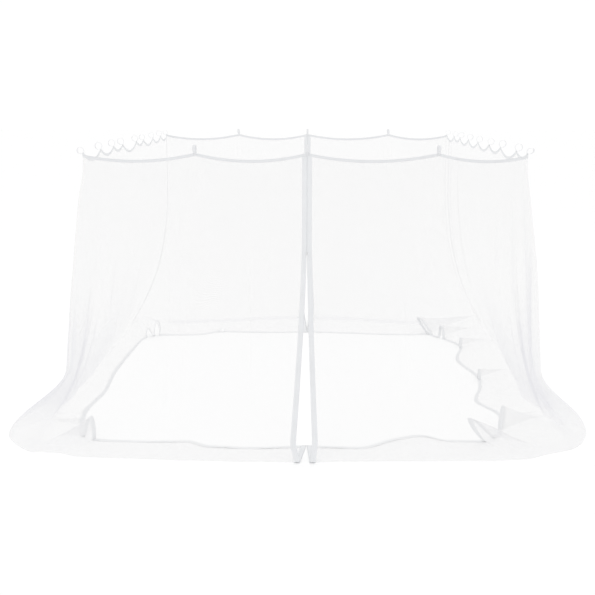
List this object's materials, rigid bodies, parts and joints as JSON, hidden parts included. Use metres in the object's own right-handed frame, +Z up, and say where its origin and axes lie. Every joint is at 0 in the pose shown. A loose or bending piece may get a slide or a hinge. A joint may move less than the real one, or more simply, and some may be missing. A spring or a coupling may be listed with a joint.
{
  "type": "gazebo mosquito net",
  "caption": "Sheer white net curtain for a square gazebo, hung by tape straps along a scalloped top edge, zipped front and back, its spare hem lying inward on the floor.",
  "frame": {"origin": "on the floor, under the middle of the net's box, about the middle of the square it hangs round", "axes": "+Z up, -Y towards the front zip, +X to the right of a person who faces the front from outside; millimetre source, metres here"},
  "size_m": [4.2635, 3.4897, 2.1514],
  "materials": {
    "net": "fine sheer knitted net",
    "tape": "woven tape",
    "zip_tape": "woven zip tape with a coil edge",
    "moulding": "smooth moulded"
  },
  "bodies": {
    "root": {"net_left": "net", "heading_left": "tape", "hem_binding_left": "tape", "zip_tape_front_left": "zip_tape", "zip_foot_front_left": "zip_tape", "zip_tape_back_left": "zip_tape", "zip_foot_back_left": "zip_tape", "strap_front_left": "tape", "strap_corner_front_left": "tape", "strap_left_1": "tape", "strap_left_2": "tape", "strap_left_3": "tape", "strap_left_4": "tape", "strap_left_5": "tape", "strap_left_6": "tape", "strap_left_7": "tape", "strap_corner_back_left": "tape", "strap_back_left": "tape", "net_right": "net", "heading_right": "tape", "hem_binding_right": "tape", "zip_tape_front_right": "zip_tape", "zip_foot_front_right": "zip_tape", "zip_tape_back_right": "zip_tape", "zip_foot_back_right": "zip_tape", "strap_front_right": "tape", "strap_corner_front_right": "tape", "strap_right_1": "tape", "strap_right_2": "tape", "strap_right_3": "tape", "strap_right_4": "tape", "strap_right_5": "tape", "strap_right_6": "tape", "strap_right_7": "tape", "strap_corner_back_right": "tape", "strap_back_right": "tape", "strap_front_middle": "tape", "strap_back_middle": "tape", "slider_front": "moulding", "pull_front": "moulding", "slider_back": "moulding", "pull_back": "moulding"}
  },
  "joints": []
}
